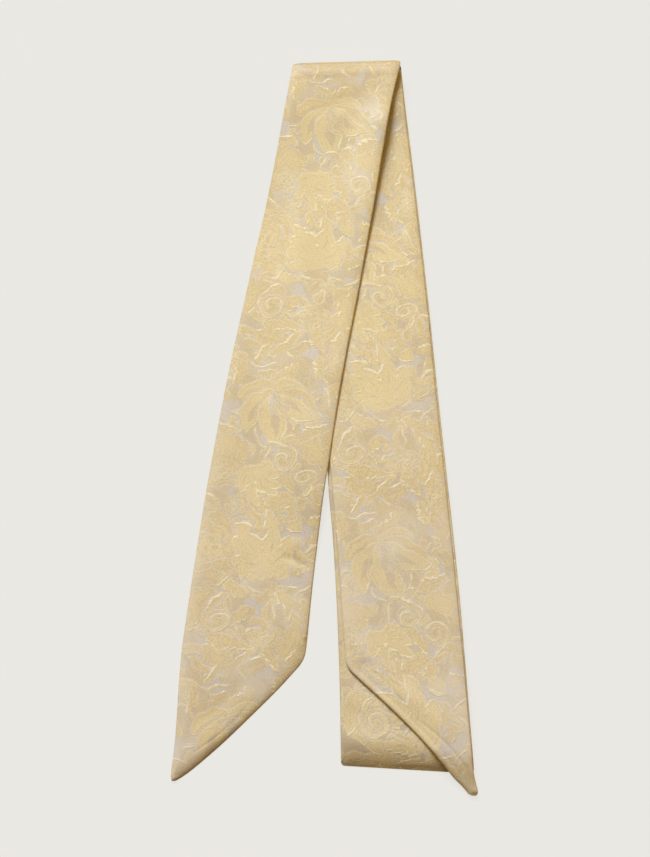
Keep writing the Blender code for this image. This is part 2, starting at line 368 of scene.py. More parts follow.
# Small curled leaves and thin threads that fill the ground, spaced by the golden ratio
FILLERS = 118
GOLDEN = 0.618034
FILL_WIDTH = 78.0
FILL_MARGIN = 4.0
FILLER_SIZE = 13.0
FILLER_CURL = 75.0
THREADS = 46
THREAD_TURN = 137.5
THREAD_HALF = 0.55
THREAD_SIZE = (11.0, 13.0)
THREAD_BEND = (75, 50)

# Fields kept on each vertex
FIELDS = ("figure", "strip", "cord", "tone", "patch", "back", "back_tone", "shade", "painted_sheen")

# Camera and light
LOOK_X = -CENTRE_X * MM
LOOK_Y = -CENTRE_Y * MM
CAMERA_DISTANCE = 0.706
CAMERA_TILT = 19.5
CAMERA_LENS = 50.0
SENSOR = 36.0
SUN_STRENGTH = 3.0
SUN_SIZE = 22.0
SUN_TILT = 50.0
SUN_HEADING = 20.0
SUN_COLOUR = (0.86, 1.0, 1.17)
SKY_COLOUR = (1.0, 0.68, 0.25, 1.0)
# from the lower side, from the top side
SKY_STRENGTH = (0.06, 0.60)
# how far towards the top side, -1 to 1, the sky reaches its full strength
SKY_FULL = 0.3
FLOOR_GLOW = 0.9
FLOOR_SIZE = 3.0
FLOOR_MOTTLE = 9.0
FLOOR_DEEP = 0.99
BACKDROP_GLOW = 0.945
DOME_RADIUS = 5.0
DOME_RINGS = 13
DOME_SIDES = 32

# Colours as red, green, blue on screen
GOLD = (225, 204, 154)
PALE_GOLD = (233, 214, 164)
TAN = (215, 196, 151)
GROUND = (214, 197, 161)
LILAC = (217, 206, 188)
CORE = (213, 195, 160)
CORD = (247, 235, 196)
FLOOR = (234, 233, 228)
# what the colour is multiplied by where little light comes in
DEEP = (0.50, 0.42, 0.28, 1.0)
# painted sheen: what the lower end's colour is multiplied by
LOWER_SHEEN_TINT = (0.86, 0.86, 0.93, 1.0)

# Noise in the silk, in waves a metre: ragged and uneven edges, broken cords, threads, drift, and the lilac
# veil of painted sheen
RAGGED_SCALE = 620.0
RAGGED = 1.2
UNEVEN_SCALE = 240.0
UNEVEN = 2.4
BROKEN_SCALE = 260.0
GRAIN_SCALE = 1600.0
GRAIN_SHADE = (0.85, 1.13)
DRIFT_SCALE = 32.0
DRIFT_SHADE = (0.965, 1.03)
SHEEN_VEIL_SCALE = 30.0
ROUGH_NOISE = 0.7

# Heights in mm, roughness of ground and figure, and the silk's soft sheen
FIGURE_HEIGHT = 0.05
CORD_HEIGHT = 0.10
GRAIN_HEIGHT = 0.03
SATIN = (0.46, 0.56)
GRAIN_ROUGHNESS = 0.16
SILK_SPECULAR = 0.35
SHEEN = 0.12
SHEEN_ROUGHNESS = 0.4
SHEEN_TINT = (1.0, 0.93, 0.76, 1.0)


def ramp(t):
    """0 below 0, 1 above 1 and soft between."""
    t = np.clip(t, 0.0, 1.0)
    return t * t * (3 - 2 * t)


def onset(value, start, reach):
    """0 at the start, 1 a reach on from it and soft between. A reach below 0 goes the other way."""
    return ramp((value - start) / reach)


def fade(gap, reach):
    """1 up to an edge, and less the further in from it."""
    return np.exp(-np.maximum(gap, 0.0) / reach)


def arc(t):
    """Height of a quarter circle of radius 1 at t from its foot, and 1 beyond it."""
    return np.sqrt(1 - (1 - np.clip(t, 0.0, 1.0)) ** 2)


def edge(table, column, y):
    """One column of an edge table at each y, on a smooth curve through its rows."""
    rows = np.array(table)[::-1]
    ys = rows[:, 0]
    vs = rows[:, column]
    slopes = np.empty(len(ys))
    slopes[1:-1] = (vs[2:] - vs[:-2]) / (ys[2:] - ys[:-2])
    slopes[0] = (vs[1] - vs[0]) / (ys[1] - ys[0])
    slopes[-1] = (vs[-1] - vs[-2]) / (ys[-1] - ys[-2])
    y = np.clip(np.asarray(y, float), ys[0], ys[-1])
    i = np.clip(np.searchsorted(ys, y, side="right") - 1, 0, len(ys) - 2)
    span = ys[i + 1] - ys[i]
    t = (y - ys[i]) / span
    return (
        (2 * t**3 - 3 * t**2 + 1) * vs[i]
        + (t**3 - 2 * t**2 + t) * span * slopes[i]
        + (3 * t**2 - 2 * t**3) * vs[i + 1]
        + (t**3 - t**2) * span * slopes[i + 1]
    )


def top_skew(x, y):
    """How far a row near the top fold runs along that fold's slant."""
    return FOLD_SKEW * ramp(1 - (FOLD_Y - y) / FOLD_SKEW_REACH) * (x - FOLD_X)


def low_skew(x, y):
    """How far a row near the bottom fold runs along that fold's slant."""
    return TURN_SKEW * ramp((TURN_Y + TURN_SKEW_REACH - y) / TURN_SKEW_REACH) * (x - TURN_X)


def pile_top(y):
    """Height of the hidden stretches' upper side: it rises to the bottom fold and falls over it."""
    top = PILE_TOP + TURN_LOFT * onset(y, *TURN_LOFT_Y)
    fall = np.clip((FALL_Y - y) / (FALL_Y - TURN_Y + TURN_LENGTH), 0.0, 1.0) ** FALL_POWER
    return FALL_NOSE + (top - FALL_NOSE) * (1 - fall)


def front_base(x, y):
    """Height of the front stretch's underside: off the roll, along the pile and down beside it."""
    roll_top = 2 * OUTER_ROLL
    top = FRONT_BASE + (roll_top - FRONT_BASE) * ramp(1 - (FOLD_Y - y) / OUTER_SETTLE)
    pile = edge(UNDER_EDGES, 1, y) - DROOP_GAP
    past = ramp((pile - x) / DROOP_REACH) * ramp((FOLD_Y - y) / DROOP_START)
    inward = ramp((x - edge(FRONT_EDGES, 2, y) + LIFT_REACH) / LIFT_REACH)
    high = LIFT * onset(y, *LIFT_HIGH_Y) ** LIFT_POWER
    low = LIFT_LOW * ramp((y - LIFT_LOW_Y) / LIFT_REACH)
    lift = (high + low) * inward * onset(y, *LIFT_TOP_Y)
    crest = CREST * ramp((FOLD_Y - y) / CREST_REACH) * ramp((FOLD_Y - y) / -CREST_REACH + CREST_END)
    return top * (1 - past) * (1 - onset(y, *STEP_Y)) + lift + crest


def end_base(x, y):
    """Height of the end stretch's underside: off the inner roll, along the pile and down past its end."""
    roll_top = LEVEL + 2 * INNER_ROLL
    top = END_BASE + (roll_top - END_BASE) * ramp(1 - (FOLD_Y - INNER_BACK - y) / INNER_SETTLE)
    top = top + TURN_LOFT * onset(y, *TURN_LOFT_Y)
    bend = (TIP_BEND_Y - y + low_skew(x, y)) / (TIP_BEND_Y - TIP_Y)
    inward = ramp((edge(END_EDGES, 1, y) + HEM_LIFT_REACH - x) / HEM_LIFT_REACH)
    lift = HEM_LIFT * inward * onset(y, *END_HEM[:2])
    return top + lift - (top + lift - TIP_BASE) * ramp(bend)


def waves(u, v, table):
    """Sum of a table's slanted waves at each point."""
    return sum(size * np.sin(du * u + dv * v + phase) for du, dv, phase, size in table)


def creases(x, y, table):
    """Height that a table's hand-placed ridges and troughs add at each point."""
    total = SOFT_SHARE * waves(x, y, SOFT_WAVES)
    for x0, y0, x1, y1, half, height in table:
        length = math.hypot(x1 - x0, y1 - y0)
        ax = (x1 - x0) / length
        ay = (y1 - y0) / length
        t = ((x - x0) * ax + (y - y0) * ay) / length
        bow = CREASE_BOW * length * np.sin(math.pi * np.clip(t, 0, 1))
        side = (y - y0) * ax - (x - x0) * ay - bow
        ends = ramp(t / CREASE_ENDS) * ramp((1 - t) / CREASE_ENDS)
        total = total + height * ends * np.exp(-((side / half) ** 2))
    return total


def steps(start, stop, size):
    """Values from start to stop, both included, no further apart than size."""
    count = max(1, math.ceil(abs(stop - start) / size))
    return np.linspace(start, stop, count + 1)


def spread(left, right, rounds, spacing, rise):
    """Places across each row, close together where its two edges round off, and the rows' own rounding."""
    width = right - left
    share = np.minimum(1.0, ROUND_FIT * width / (rounds[0] + rounds[1]))
    first = rounds[0] * share
    last = rounds[1] * share
    count = math.ceil(np.max(width) / spacing) + 1
    middle = np.linspace(0.0, 1.0, count)
    inner = (left + first)[:, None]
    span = (right - last)[:, None] - inner
    lifts = np.array(rise)
    near = left[:, None] + first[:, None] * lifts
    far = right[:, None] - last[:, None] * lifts[::-1]
    return np.hstack([near, inner + span * middle, far]), first, last


def dome(x, left, right, first, last):
    """Share of the full thickness at each place across a row: thin at the folded edges, full further in."""
    shares = []
    for gap, reach in ((x - left[:, None], first[:, None]), (right[:, None] - x, last[:, None])):
        hem = ramp((reach - SIDE_ROUND) / HEM_CHANGE)
        tight = EDGE_SHARE * arc(gap / (EDGE_ROUND * reach))
        side = tight + (1 - EDGE_SHARE) * arc(gap / (EDGE_SLOPE * reach))
        swell = 1 - fade(gap, HEM_SWELL * reach)
        blunt = HEM_EDGE * arc(gap / (HEM_BLUNT * reach)) + (1 - HEM_EDGE) * swell
        shares.append(side + (blunt - side) * hem)
    return np.minimum(*shares)


@dataclass
class Leg:
    """A tube that comes out of a top roll and runs down to a slanted tip."""

    table: tuple
    roll: float
    back: float
    low: float
    base: object
    puff: float
    hem: tuple
    bumps: tuple
    nudge: float
    mouth: tuple = ()
    cover: object = None

    def rows(self, size, wall):
        """Turn, y and narrowing of each row: turn goes from 0 to 1 round the roll and is 1 down the leg."""
        tip = self.table[-1][0]
        mouth = () if wall else self.mouth
        stops_short = bool(wall and self.mouth)
        turned = steps(0.0, 1.0, size / (math.pi * (self.roll + TUBE / 2)))[:-1]
        down = steps(self.table[0][0], tip + 2 * TIP_STEPS[0] + MOUTH_BACK * stops_short, size)
        ends = [] if stops_short else [tip + step for step in TIP_STEPS]
        ends += [tip + step for step, _ in mouth]
        turn = np.concatenate([turned, np.ones(len(down) + len(ends))])
        y = np.concatenate([np.full(len(turned), self.table[0][0]), down, ends])
        narrow = np.zeros(len(y))
        narrow[len(y) - len(mouth):] = [share for _, share in mouth]
        return turn, y, narrow

    def frame(self, turn, y, narrow, wall):
        """Left and right edge, both roundings and half thickness of each row."""
        left = edge(self.table, 1, y)
        right = edge(self.table, 2, y)
        left, right = left + narrow * (right - left), right - narrow * (right - left)
        left = left + (UNDER_EDGES[0][1] - left) * ramp(1 - turn)
        right = right + (UNDER_EDGES[0][2] - right) * ramp(1 - turn)
        reach = self.roll + TUBE / 2
        corner = reach * (1 - np.cos(math.pi * (turn - 0.5)))
        left = left + FOLD_CORNERS[0] * (1 - arc(corner / FOLD_CORNERS[0])) * (turn < 1)
        right = right - FOLD_CORNERS[1] * (1 - arc(corner / FOLD_CORNERS[1])) * (turn < 1)
        start, on, most = self.hem
        rounds = [np.full(len(y), SIDE_ROUND), SIDE_ROUND + (most - SIDE_ROUND) * onset(y, start, on)]
        if self.mouth:
            rounds.reverse()
        tip = self.table[-1][0]
        thick = TUBE / 2 + self.puff * onset(y, *PUFF_Y)
        blunt = MOUTH_HALF if self.mouth else TIP_BLUNT
        end = thick * np.maximum(arc((y - tip) / thick), blunt) * (1 - MOUTH_THIN * narrow)
        squeeze = np.minimum(1.0, (right - left) / (4 * wall)) if wall else 1.0
        inset = wall * squeeze
        return left + inset, right - inset, rounds, thick, np.maximum(end - wall, LEAST_HALF * end)

    def place(self, x, turn, y, thick, height):
        """Points from a place across, a row and a height off the tube's middle."""
        nudge = self.nudge * onset(y, *NUDGE_Y)
        flat_y = y + top_skew(x, y) + nudge
        flat_z = self.base(x, y) + thick + height
        angle = math.pi * (turn - 0.5)
        reach = self.roll + height
        round_y = FOLD_Y - self.back + self.nudge + top_skew(x, FOLD_Y) + reach * np.cos(angle)
        round_z = self.low + TUBE / 2 + self.roll + reach * np.sin(angle)
        rolled = turn < 1
        return np.stack([x, np.where(rolled, round_y, flat_y), np.where(rolled, round_z, flat_z)], -1)

    def skin(self, size, lower_gap, wall):
        """Upper and lower sheets of points, rows by places across."""
        turn, y, narrow = self.rows(size, wall)
        left, right, rounds, thick, end = self.frame(turn, y, narrow, wall)
        turn = turn[:, None]
        down = y[:, None]
        sheets = []
        for gap, side in ((size, 1), (lower_gap, -1)):
            x, first, last = spread(left, right, rounds, gap, LINING_RISE if wall else RISE)
            crown = dome(x, left, right, first, last)
            height = end[:, None] * (2 * crown - 1 if side > 0 else -np.ones(crown.shape))
            if side > 0:
                bump = creases(x, down, self.bumps) * crown * ramp((down - self.table[-1][0]) / TIP_CREASE)
                if self.cover:
                    bump = bump * self.cover(x, down)
                height = height + bump * ramp((turn - 0.5) * 2) * (LINING_CREASE if wall else 1.0)
            sheets.append(self.place(x, turn, down, thick[:, None], height))
        return sheets


def shown_past_front(x, y):
    """1 where the end stretch shows beside the front one, 0 where it lies under it."""
    return np.maximum(onset(x - edge(FRONT_EDGES, 2, y), *SHOWN_X), onset(y, *SHOWN_Y))


class Pile:
    """The two hidden stretches: one form, grooved at its edges and rounded at the bottom fold."""

    def skin(self, size, lower_gap, wall):
        """Upper and lower sheets of points, rows by places across."""
        y = np.concatenate([
            [FOLD_Y - GAP, INNER_END + STEP_FACE],
            steps(INNER_END, FALL_FINE_Y, max(LINING, size)),
            steps(FALL_FINE_Y, TURN_Y, size)[1:],
            TURN_Y - TURN_LENGTH * np.sin(math.pi / 2 * np.arange(1, TURN_ROWS) / TURN_ROWS),
            [TURN_Y - TURN_LENGTH + STEP_FACE],
        ])
        nose_gap = y - TURN_Y + TURN_LENGTH
        top = np.where(y <= INNER_END, pile_top(y), TUBE)
        bottom = np.minimum(FALL_NOSE * (1 - arc(nose_gap / FALL_NOSE)), top)
        inset = TURN_CORNER * (1 - arc(nose_gap / TURN_CORNER))
        left = edge(UNDER_EDGES, 1, y) + inset
        right = edge(UNDER_EDGES, 2, y) - inset
        groove = GROOVE * ramp((y - TURN_Y) / GROOVE_REACH) * (y <= INNER_END)
        rim = [(inward * SIDE_ROUND, (LEVEL + share * TUBE) / PILE_TOP, 0.0) for inward, share in RIM]
        rim.append((GROOVE_ROUND * SIDE_ROUND, 0.5, 1.0))
        rim += [(inward, 1 - share, 0.0) for inward, share, _ in rim[-2::-1]]
        rim = np.array(rim)
        rim_x = rim[:, 0] + groove[:, None] * rim[:, 2]
        lift = np.tile(rim[:, 1], (len(y), 1))
        left, right, top, bottom, down = (line[:, None] for line in (left, right, top, bottom, y))
        sheets = []
        for gap, side in ((size, 1), (lower_gap, -1)):
            count = math.ceil(np.max(right - left) / gap) + 1
            inner = np.linspace(0.0, 1.0, count)[1:-1]
            middle = left + SIDE_ROUND + (right - left - 2 * SIDE_ROUND) * inner
            if side > 0:
                x = np.hstack([(left + rim_x)[:, ::-1], middle, right - rim_x])
                share = np.hstack([lift[:, ::-1], np.ones(middle.shape), lift])
                span = ramp((x - left) / PILE_CREASE_SIDE) * ramp((right - x) / PILE_CREASE_SIDE)
                open_part = onset(down, *PILE_CREASE_Y) * ramp(nose_gap[:, None] / PILE_CREASE_NOSE)
                z = bottom + (top - bottom) * share + creases(x, down, UNDER_CREASES) * span * open_part
            else:
                x = np.hstack([sheets[0][:, :1, 0], middle, sheets[0][:, -1:, 0]])
                z = np.tile(bottom, x.shape[1])
            if wall:
                mid_x = 0.5 * (left + right)
                mid_z = 0.5 * (top + bottom)
                x = mid_x + (x - mid_x) * (1 - wall / PILE_HALF_WIDTH)
                z = mid_z + (z - mid_z) * (1 - 2 * wall / PILE_TOP)
            sheets.append(np.stack([x, down + top_skew(x, down) + low_skew(x, down), z], -1))
        return sheets


def scattered(k, step, first=0.0):
    """A number from 0 to 1 that jumps about as k counts up, and is the same in every run."""
    return math.fmod(first + k * step, 1.0)


class Cloth:
    """The woven figure at a set of points, as distances in mm that are positive inside a shape."""

    def __init__(self, u, v, table, calm_u, calm_v, fillers=0, lines=0):
        self.u = np.mod(u, REPEAT)
        self.v = v
        self.calm_u = np.mod(calm_u, REPEAT)
        self.calm_v = calm_v
        self.figure = np.full(u.shape, OFF)
        self.strip = np.full(u.shape, OFF)
        self.cord = np.zeros(u.shape)
        self.tone = np.zeros(u.shape)
        for k in range(fillers):
            self.filler(k)
        for k in range(lines):
            self.thread(k)
        for kind, places in table.items():
            for along, across, heading, size, turn in places:
                for shift in REPEATS:
                    self.motif(kind, along + shift, across, heading, size, turn)

    def filler(self, k):
        """One of the small curled leaves under the larger motifs."""
        u = REPEAT * k / FILLERS
        v = FILL_WIDTH * scattered(k, GOLDEN) - FILL_MARGIN
        hand = 1 if scattered(k, 0.37) > 0.45 else -1
        heading = 140 * math.sin(0.071 * u + 0.05 * v) + 90 * math.cos(0.11 * v) + 47 * (k % 3)
        size = FILLER_SIZE * (0.75 + 0.7 * scattered(k, 0.43))
        tone = 0.15 + 0.75 * scattered(k, 0.29)
        teeth = 4 if k % 3 == 0 else 0
        bend = hand * FILLER_CURL
        for shift in REPEATS:
            self.stroke(u + shift, v, heading, size, SLIM * size, bend, "lobe", tone, hand, teeth)

    def thread(self, k):
        """One of the thin bright lines that curl through the ground."""
        u = REPEAT * (k + 0.5) / THREADS
        v = FILL_WIDTH * scattered(k, GOLDEN, 0.31) - FILL_MARGIN
        hand = 1 if k % 2 else -1
        size = THREAD_SIZE[0] + THREAD_SIZE[1] * scattered(k, 0.57)
        bend = hand * (THREAD_BEND[0] + THREAD_BEND[1] * scattered(k, 0.37))
        for shift in REPEATS:
            self.stroke(u + shift, v, THREAD_TURN * k, size, THREAD_HALF, bend, "stem", 0.8, hand, core=0.0)

    def near(self, u, v, reach):
        """Which points lie close to a place."""
        return np.nonzero((np.abs(self.u - u) < reach) & (np.abs(self.v - v) < reach))[0]

    def lay(self, at, inside, strip, cord, tone):
        """Lays one shape over what is there, with a thin line of ground left round it."""
        self.figure[at] = np.maximum(np.minimum(self.figure[at], -inside - LINE_GAP), inside)
        own = inside > -LINE_GAP / 2
        border = inside > -LINE_GAP - LINE_BORDER
        self.cord[at] = np.where(own, cord, np.where(border, 0.0, self.cord[at]))
        self.strip[at] = np.where(own, strip, self.strip[at])
        self.tone[at] = np.where(own, tone, self.tone[at])

    def stroke(self, u, v, heading, length, half, bend, kind, tone, side, teeth=0, core=0.34):
        """A petal, leaf, lobe or stem on a bent line. side is the edge with a cord, to its left or right."""
        at = self.near(u, v, length + half + 2)
        if len(at):
            drawn = self.shape(at, u, v, heading, length, half, bend, kind, side, teeth, core)
            self.lay(at, *drawn[:3], tone + 0.16 * (drawn[3] - 0.5))

    def spray(self, u, v, heading, size, lobes, turn, tone):
        """Several lobes from one point, merged into one jagged leaf with a vein in each lobe."""
        at = self.near(u, v, 1.2 * size)
        if not len(at):
            return
        best = np.zeros((4, len(at)))
        best[:2] = OFF
        for angle, share, wide, bend in lobes:
            side = math.copysign(1, -angle or turn)
            bend = bend + 0.4 * turn
            long = size * share
            own = self.shape(at, u, v, heading + angle, long, size * wide, bend, "lobe", side, 3, 0.0)
            own[3] = own[3] * share
            best = np.where(own[0] > best[0], own, best)
        self.lay(at, *best[:3], tone + 0.25 * (best[3] - 0.5))

    def shape(self, at, u, v, heading, length, half, bend, kind, side, teeth, core):
        """Distances inside a bent shape and its vein, its cord, and the place along it, at some points."""
        h = math.radians(heading)
        du = self.u[at] - u
        dv = self.v[at] - v
        a = du * math.cos(h) + dv * math.sin(h)
        b = dv * math.cos(h) - du * math.sin(h)
        turn = math.radians(bend)
        if abs(turn) < STRAIGHT:
            t = a / length
            s = b
        else:
            hand = math.copysign(1.0, turn)
            radius = length / abs(turn)
            t = np.arctan2(a, radius - hand * b) / abs(turn)
            s = hand * (radius - np.hypot(a, radius - hand * b))
        rises, falls = PROFILES[kind]
        peak = rises / (rises + falls)
        held = np.clip(t, 0.0, 1.0)
        wide = half * (held / peak) ** rises * ((1 - held) / (1 - peak)) ** falls
        if teeth:
            low, more, lean, power = TOOTH
            tooth = np.mod(teeth * (t - lean * np.abs(s) / half), 1.0)
            wide = wide * (low + more * (1 - tooth) ** power)
        past = np.maximum(np.maximum(-t, t - 1), 0) * length
        inside = np.where(past > 0, -np.hypot(past, s), (wide - np.abs(s)) * 0.92)
        inside = np.where((t < -0.6) | (t > 1.8), OFF, inside)
        line = VEIN_SIDE * wide * math.copysign(1, bend + 0.1)
        taper = ramp((t - 0.1) / 0.3) * ramp((0.9 - t) / 0.4)
        strip = core * wide * taper - np.abs(s - line) - 0.2 * (taper < 0.05)
        if teeth:
            strip = (VEIN * taper - np.abs(s)) * (1 + (core > 0)) - 0.1 * (taper < 0.05)
        cord = ramp(side * s / CORD_EDGE + 0.5) * ramp((t - 0.04) * 8) * abs(side)
        return [inside, strip, cord, held]

    def coil(self, u, v, heading, radius, hand):
        """A spiral tendril with a cord on its outer side."""
        at = self.near(u, v, 2.6 * radius)
        if not len(at):
            return
        du = self.calm_u[at] - u
        dv = (self.calm_v[at] - v) * hand
        r = np.hypot(du, dv)
        angle = np.mod(np.arctan2(dv, du) - math.radians(heading), 2 * math.pi)
        best = np.full(len(at), FAR)
        reach = np.zeros(len(at))
        for k in range(3):
            turns = angle / (2 * math.pi) + k
            off = np.where(turns <= SPIRAL_TURNS, r - radius * (SPIRAL_CORE + turns / SPIRAL_TURNS), FAR)
            closer = np.abs(off) < np.abs(best)
            best = np.where(closer, off, best)
            reach = np.where(closer, turns / SPIRAL_TURNS, reach)
        self.lay(at, radius * SPIRAL_DISC - r, OFF, 0.0, 0.2)
        half = 0.17 * radius * (0.6 + 0.5 * reach)
        inside = np.where(np.abs(best) < FAR / 2, half - np.abs(best), OFF)
        self.lay(at, inside, OFF, 0.7 * ramp(best / 0.8 + 0.5), 0.55)
        tail = math.radians(heading) + 2 * math.pi * SPIRAL_TURNS
        tail_u = u + SPIRAL_TAIL * radius * math.cos(tail)
        tail_v = v + SPIRAL_TAIL * radius * math.sin(tail) * hand
        bearing = (math.degrees(tail) + 62) * hand
        long = radius * 1.9
        self.stroke(tail_u, tail_v, bearing, long, 0.19 * radius, 46 * hand, "stem", 0.55, -hand, core=0.0)

    def motif(self, kind, u, v, heading, size, turn):
        """Draws one motif of a table."""
        side = 1 if turn > 0 else -1
        if kind == "leaf":
            self.stroke(u, v, heading, size, SLIM * size, turn, "leaf", 0.6, side, teeth=4)
        elif kind == "scroll":
            self.stroke(u, v, heading, size, SCROLL_HALF, turn, "stem", 0.5, side, core=0.0)
        elif kind == "spiral":
            self.coil(u, v, heading, size, turn)
        elif kind == "acanthus":
            self.spray(u, v, heading, size, ACANTHUS_LOBES, turn, 0.4 + 0.11 * math.fmod(u, 5.0))
        elif kind == "rose":
            for ring, (count, share, wide) in enumerate(ROSE_RINGS):
                for k in range(count):
                    angle = heading + 360 * k / count + 26 * ring
                    self.stroke(u, v, angle, size * share, size * wide, 30, "lobe", 0.45 + 0.2 * ring, 1)
        elif kind == "palm":
            self.spray(u, v, heading, size, PALM_LOBES, turn, 0.95)
        elif kind == "lily":
            for angle, share, half, bend, tone, edged in LILY_PETALS:
                self.stroke(u, v, heading + angle, size * share, half, bend, "petal", tone, edged)
            for angle in (-14, 2, 16):
                self.stroke(u, v, heading + angle, size * 0.42, 0.9, angle, "stem", 0.2, 0, core=0.0)


def woven(u, v):
    """The named fields of the cloth at each point."""
    calm_u = u + waves(u, v, WARP_ALONG[:1])
    calm_v = v + waves(u, v, WARP_ACROSS[:1])
    along = calm_u + waves(u, v, WARP_ALONG[1:])
    across = calm_v + waves(u, v, WARP_ACROSS[1:])
    front = Cloth(along, across, FRONT_MOTIFS, calm_u, calm_v, FILLERS, THREADS)
    back_at = (along + BACK_SHIFT, CLOTH_WIDTH - across)
    back = Cloth(*back_at, BACK_MOTIFS, *back_at)
    patch = waves(u, v, PATCH_WAVES) + PATCH_LEVEL
    values = (front.figure, front.strip, front.cord, front.tone, patch, back.figure, back.tone)
    return dict(zip(FIELDS, values))


def cloth_places(sheet, start, mirror, from_right):
    """Length along the cloth and place across it for a sheet's points, from its long straight edge."""
    edge_points = sheet[:, -1 if from_right else 0]
    lengths = np.linalg.norm(np.diff(edge_points, axis=0), axis=1)
    along = np.concatenate([[0.0], np.cumsum(lengths)])
    lean = np.gradient(edge_points[:, 0], np.maximum(along, 1e-6) + np.arange(len(along)) * 1e-6)
    window = np.ones(2 * LEAN_ROWS + 1) / (2 * LEAN_ROWS + 1)
    lean = np.convolve(np.pad(lean, LEAN_ROWS, mode="edge"), window, mode="valid")
    lean = np.clip(lean, -LEAN_LIMIT, LEAN_LIMIT)
    width = sheet[..., 0] - edge_points[:, :1]
    u = along[:, None] - start + width * lean[:, None]
    v = width * np.sqrt(1 - lean[:, None] ** 2)
    if from_right:
        return u, v + CLOTH_WIDTH
    return u, (-v if mirror else v)


def shaded(points, form):
    """How much painted shade darkens each point's colour, 0 to 1, where less light gets in."""
    x, y, _ = np.moveaxis(points, -1, 0)
    top = TOP_SHADE * onset(y - top_skew(x, FOLD_Y), *TOP_SHADE_Y)
    if not isinstance(form, Leg):
        edge_y = TURN_Y - TURN_LENGTH + low_skew(x, TURN_Y - TURN_LENGTH)
        rim = np.exp(-(((x - edge(UNDER_EDGES, 1, y)) / RIM_SHADE_REACH) ** 2)) * onset(y, *RIM_SHADE_Y)
        return np.maximum(RIM_SHADE * rim, FALL_SHADE * ramp(1 - (y - edge_y) / FALL_SHADE_REACH))
    past_front = x - edge(FRONT_EDGES, 2, y)
    if not form.mouth:
        hem = TIP_SHADE * fade(-past_front, TIP_SHADE_REACH) * onset(y, *TIP_SHADE_Y)
        left = LEFT_SHADE * fade(x - edge(FRONT_EDGES, 1, y), LEFT_SHADE_REACH) * onset(y, *LEFT_SHADE_TOP)
        return np.maximum(top, hem + left * onset(y, *LEFT_SHADE_LOW))
    top = np.maximum(top, BESIDE_SHADE * onset(past_front, *BESIDE_SHADE_X) * onset(y, *BESIDE_SHADE_Y))
    spot_x, spot_y, wide, deep = MOUTH_SPOT
    spot = np.exp(-(((x - spot_x) / wide) ** 2 + ((y - spot_y) / deep) ** 2) ** 2)
    return np.maximum(top, MOUTH_SHADE * spot)


def painted_sheen(points, form):
    """How pale the painted sheen makes each point, -1 to 1: more along the outer edges of both shown ends.
    """
    x, y, _ = np.moveaxis(points, -1, 0)
    total = sum(size * np.exp(-((x - px) ** 2 + (y - py) ** 2) / reach**2) for px, py, reach, size in PAINTED_SHEEN_SPOTS)
    sides = []
    if isinstance(form, Leg) and form.mouth:
        sides.append((edge(END_EDGES, 2, y) - x, END_RIGHT_PAINTED_SHEEN))
        sides.append((x - edge(END_EDGES, 1, y), END_LEFT_PAINTED_SHEEN))
    elif isinstance(form, Leg):
        sides.append((x - edge(FRONT_EDGES, 1, y), FRONT_LEFT_PAINTED_SHEEN))
    for gap, (strength, start, reach) in sides:
        total = total + strength * fade(gap, PAINTED_SHEEN_EDGE) * onset(y, start, reach)
    return np.clip(total, -1.0, 1.0)


def round_faces(rows, count):
    """Vertex numbers of rings laid on each other, and the faces between them."""
    index = np.arange(rows * count).reshape(rows, count)
    after = np.roll(index, -1, axis=1)
    return index, np.stack([index[1:], after[1:], after[:-1], index[:-1]], -1).reshape(-1, 4).tolist()


def stitch(skins):
    """Vertices and outward faces of a skin, whose upper and lower sheets share their outer columns."""
    upper, lower = skins
    ring = np.concatenate([upper, lower[:, UNSHARED]], axis=1)
    index, quads = round_faces(*ring.shape[:2])
    return ring.reshape(-1, 3), quads, [index[0].tolist(), index[-1, ::-1].tolist()]


def add_object(name, data):
    """Puts an object in the scene."""
    made = bpy.data.objects.new(name, data)
    bpy.context.scene.collection.objects.link(made)
    return made


def add_mesh(name, points, faces, material):
    """Puts a mesh of one material in the scene."""
    mesh = bpy.data.meshes.new(name)
    mesh.from_pydata(points, [], faces)
    mesh.materials.append(material)
    return add_object(name, mesh)


def piece(name, form, shift, start, material):
    """One stretch of the scarf: its outer skin with the woven figure, and a coarse lining of its cloth."""
    leg = isinstance(form, Leg)
    from_right = leg and bool(form.mouth)
    skins = form.skin(FINE if leg else PILE_FINE, UNDERSIDE, 0.0)
    points, faces, caps = stitch(skins)
    inner_points, inner_faces, inner_caps = stitch(form.skin(LINING, LINING, WALL))
    values = {field: [] for field in FIELDS}
    for sheet, mirror in ((skins[0], False), (skins[1], True)):
        cut = UNSHARED if mirror else slice(None)
        u, v = (part[:, cut] for part in cloth_places(sheet, start, mirror, from_right))
        field = woven((u + shift).ravel(), v.ravel())
        # Painted shade and painted sheen for the points of this sheet
        field["shade"] = shaded(sheet[:, cut], form).ravel()
        field["painted_sheen"] = painted_sheen(sheet[:, cut], form).ravel()
        # Painted highlight on the hidden stretches
        if not leg:
            field["patch"] = field["patch"] + PILE_PATCH
            field["tone"] = field["tone"] + PILE_TONE
        for key in FIELDS:
            values[key].append(field[key].reshape(u.shape))
    offset = len(points)
    faces = faces + caps
    faces += [[offset + k for k in face[::-1]] for face in inner_faces + inner_caps]
    points = np.vstack([points, inner_points])
    placed = (points - (CENTRE_X, CENTRE_Y, 0.0)) * MM
    body = add_mesh(name, placed.tolist(), faces, material)
    mesh = body.data
    mesh.polygons.foreach_set("use_smooth", np.ones(len(mesh.polygons), dtype=bool))
    for key in FIELDS:
        data = np.zeros(len(points), np.float32)
        data[:offset] = np.concatenate(values[key], axis=1).ravel()
        made = mesh.attributes.new(key, "FLOAT", "POINT")
        made.data.foreach_set("value", data)
    mesh.validate()
    mesh.update()
    return body


